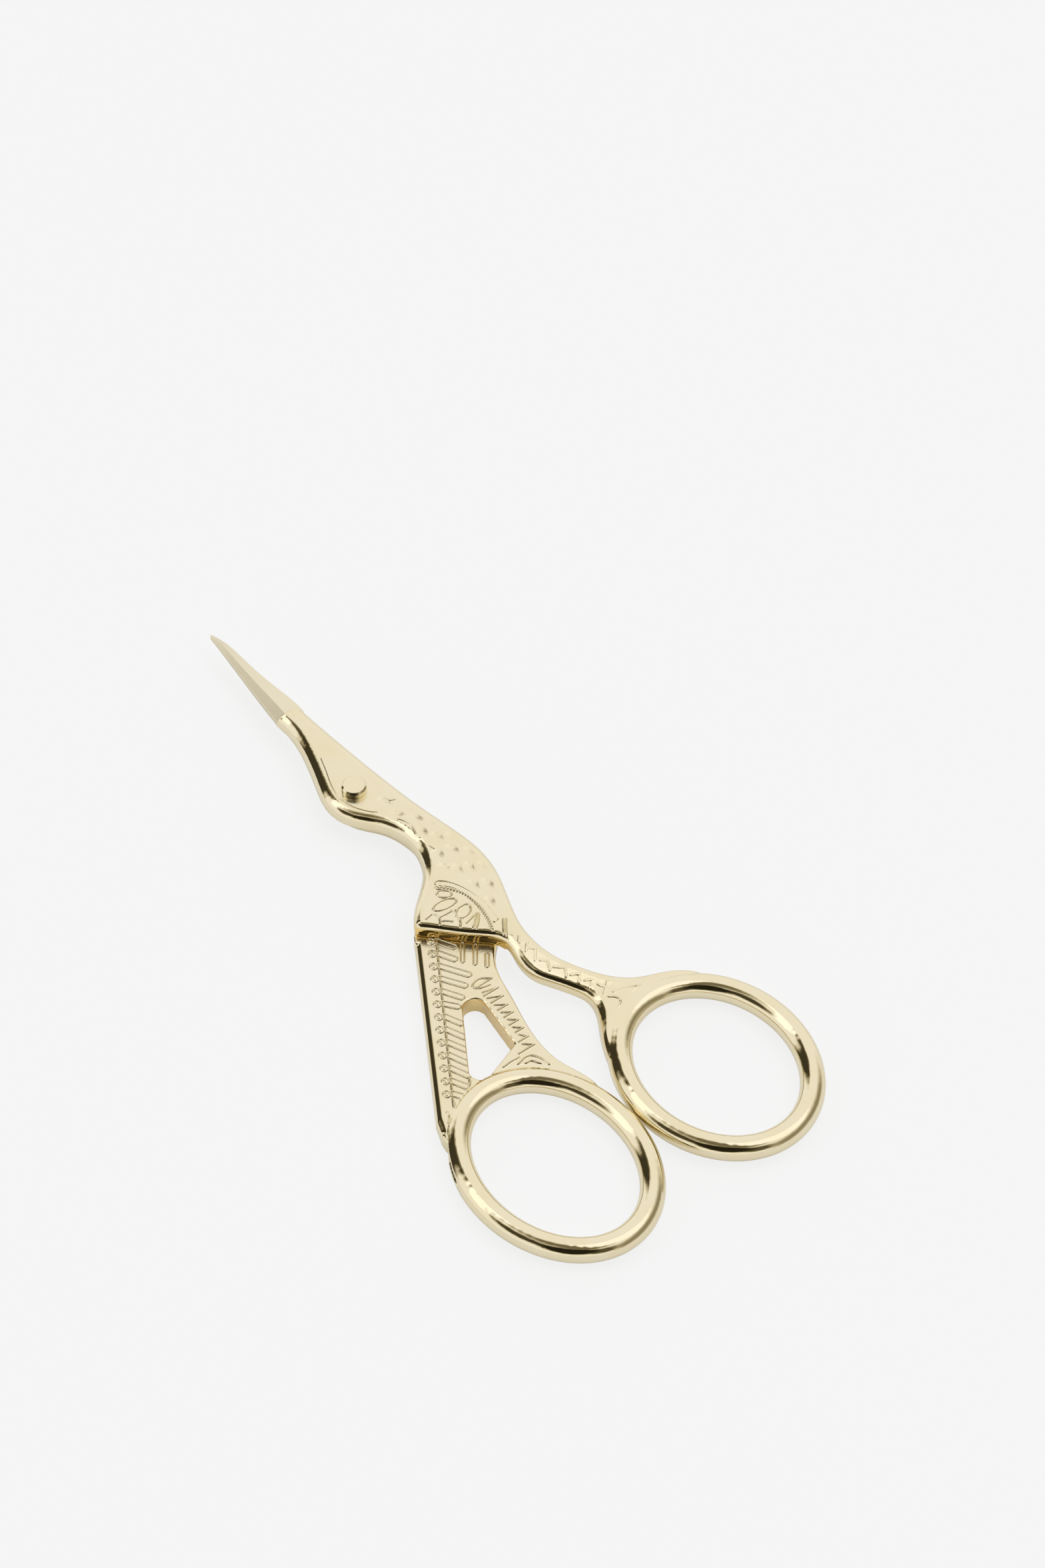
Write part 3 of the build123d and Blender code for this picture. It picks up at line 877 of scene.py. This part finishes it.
def floor_white():
    """Matt white that shows about as bright as it is coloured, with soft shadows."""
    material, tree, shader, place = new_material("floor_white", metallic=0.0)
    shade = tuple(FLOOR_SHADE * c for c in FLOOR_WHITE[:3]) + (1.0,)
    tint = mix_colour(tree, noise(tree, place, FLOOR_CLOUDS), FLOOR_WHITE, shade)
    feed(tree, shader.inputs["Base Color"], tint)
    feed(tree, shader.inputs["Roughness"], FLOOR_ROUGHNESS)
    feed(tree, shader.inputs["Specular IOR Level"], 0.0)
    glow = add(tree, "ShaderNodeEmission")
    feed(tree, glow.inputs["Color"], tint)
    rays = add(tree, "ShaderNodeLightPath").outputs
    to_camera = math_node(tree, "MULTIPLY", rays["Is Camera Ray"], FLOOR_GLOW)
    to_metal = math_node(tree, "MULTIPLY", rays["Is Glossy Ray"], MIRRORED_GLOW)
    blend = mix_shader(tree, math_node(tree, "MAXIMUM", to_camera, to_metal), shader, glow)
    feed(tree, tree.nodes["Material Output"].inputs["Surface"], blend)
    return material


def dress(obj, material):
    """Gives an object one material."""
    obj.data.materials.clear()
    obj.data.materials.append(material)


# Light, camera and floor


def towards(tree, place, axis):
    """Cosine of the angle between the direction looked at and an axis."""
    dot = add(tree, "ShaderNodeVectorMath", operation="DOT_PRODUCT")
    feed(tree, dot.inputs[0], place)
    feed(tree, dot.inputs[1], axis)
    return dot.outputs["Value"]


def band_share(tree, place, start, end, half_width, softness):
    """Share of a band of directions round the run from one direction to another."""
    a, b = direction(*start), direction(*end)
    half_run = math.degrees(a.angle(b)) / 2
    off_run = math_node(tree, "ABSOLUTE", towards(tree, place, a.cross(b).normalized()))
    widths = [math.sin(math.radians(angle)) for angle in (half_width + softness, half_width)]
    lengths = [math.cos(math.radians(angle)) for angle in (half_run + softness, half_run)]
    across = remap(tree, off_run, widths, smooth=True)
    along = remap(tree, towards(tree, place, (a + b).normalized()), lengths, smooth=True)
    return math_node(tree, "MULTIPLY", across, along)


def room():
    """World that the metal mirrors: a pale room that is darker on the camera's side."""
    world = bpy.data.worlds.new("room")
    bpy.context.scene.world = world
    world.use_nodes = True
    tree = world.node_tree
    tree.nodes.clear()
    place = add(tree, "ShaderNodeTexCoord").outputs["Generated"]
    level = ROOM_BASE
    for start, end, half_width, softness, brightness in ROOM_BANDS:
        share = band_share(tree, place, start, end, half_width, softness)
        level = mix_value(tree, share, level, brightness)
    mirrored = add(tree, "ShaderNodeBackground")
    feed(tree, mirrored.inputs["Strength"], level)
    feed(tree, mirrored.inputs["Color"], mix_colour(tree, level, ROOM_WARM, WHITE))
    backdrop = add(tree, "ShaderNodeBackground")
    feed(tree, backdrop.inputs["Color"], FLOOR_WHITE)
    seen = add(tree, "ShaderNodeLightPath").outputs["Is Camera Ray"]
    output = add(tree, "ShaderNodeOutputWorld")
    feed(tree, output.inputs["Surface"], mix_shader(tree, seen, mirrored, backdrop))


def lamp(name, start, end, width, brightness):
    """Soft box between two directions, facing the scissors: brightness 1 looks white."""
    a, b = direction(*start) * LAMP_DISTANCE, direction(*end) * LAMP_DISTANCE
    middle = (a + b) / 2
    light = bpy.data.lights.new(name, "AREA")
    light.shape = "RECTANGLE"
    light.size = (b - a).length
    light.size_y = width * LAMP_DISTANCE
    light.energy = brightness * math.pi * light.size * light.size_y
    obj = bpy.data.objects.new(name, light)
    bpy.context.scene.collection.objects.link(obj)
    back = middle.normalized()
    side = (b - a).normalized()
    side = (side - back * side.dot(back)).normalized()
    up = back.cross(side)
    obj.visible_glossy = False  # the metal mirrors the room's bands in its place
    obj.matrix_world = Matrix.Translation(middle) @ Matrix((side, up, back)).transposed().to_4x4()


def camera():
    """Camera at the photograph's view."""
    data = bpy.data.cameras.new("camera")
    data.sensor_fit = "VERTICAL"
    data.sensor_height = CAMERA_SENSOR
    data.lens = CAMERA_LENS
    data.clip_start = CAMERA_NEAR
    obj = bpy.data.objects.new("camera", data)
    bpy.context.scene.collection.objects.link(obj)
    away = direction(CAMERA_AZIMUTH, CAMERA_ELEVATION)
    x, y = CAMERA_TARGET
    obj.location = Vector((x * MM, y * MM, 0)) + PIVOT + away * CAMERA_DISTANCE * MM
    obj.rotation_euler = away.to_track_quat("Z", "Y").to_euler()
    bpy.context.scene.camera = obj


def floor():
    """Floor under the scissors."""
    bm = bmesh.new()
    bmesh.ops.create_grid(bm, x_segments=4, y_segments=4, size=FLOOR_REACH)
    mesh = bpy.data.meshes.new("floor")
    bm.to_mesh(mesh)
    bm.free()
    obj = bpy.data.objects.new("floor", mesh)
    bpy.context.scene.collection.objects.link(obj)
    dress(obj, floor_white())


def dress_castings():
    """Puts the visible castings in the place of the frame's."""
    gold = cast_gold()
    upper = casting("upper_bird", "upper_handle", upper_level, upper_relief, UPPER_BOW,
                    shape_upper, upper_painted_bounce)
    lower = casting("lower_bird", "lower_handle", lower_level, lower_relief, LOWER_BOW,
                    shape_lower, lower_painted_bounce, web=PANEL_WEB)
    for piece, node, body in ((upper, "upper_handle", "upper_half"), (lower, "lower_handle", "lower_half")):
        dress(piece, gold)
        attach(piece, body)
        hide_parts(node)


def dress_metal():
    """Finishes of the blades and the rivet, and the rivet's worn edges."""
    steel = blade_steel()
    for node in ("upper_blade", "lower_blade"):
        dress(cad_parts[node], steel)
    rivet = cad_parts["pivot_rivet"]
    dress(rivet, rivet_gold())
    worn = rivet.modifiers.new("worn_edge", "BEVEL")
    worn.width = RIVET_WEAR * MM
    worn.segments = RIVET_WEAR_STEPS
    worn.limit_method = "ANGLE"
    worn.angle_limit = math.radians(RIVET_WEAR_ANGLE)


bpy.context.scene.view_settings.view_transform = "Standard"
camera()
floor()
room()
for name, start, end, width, brightness in LAMPS:
    lamp(name, start, end, width, brightness)
dress_castings()
dress_metal()
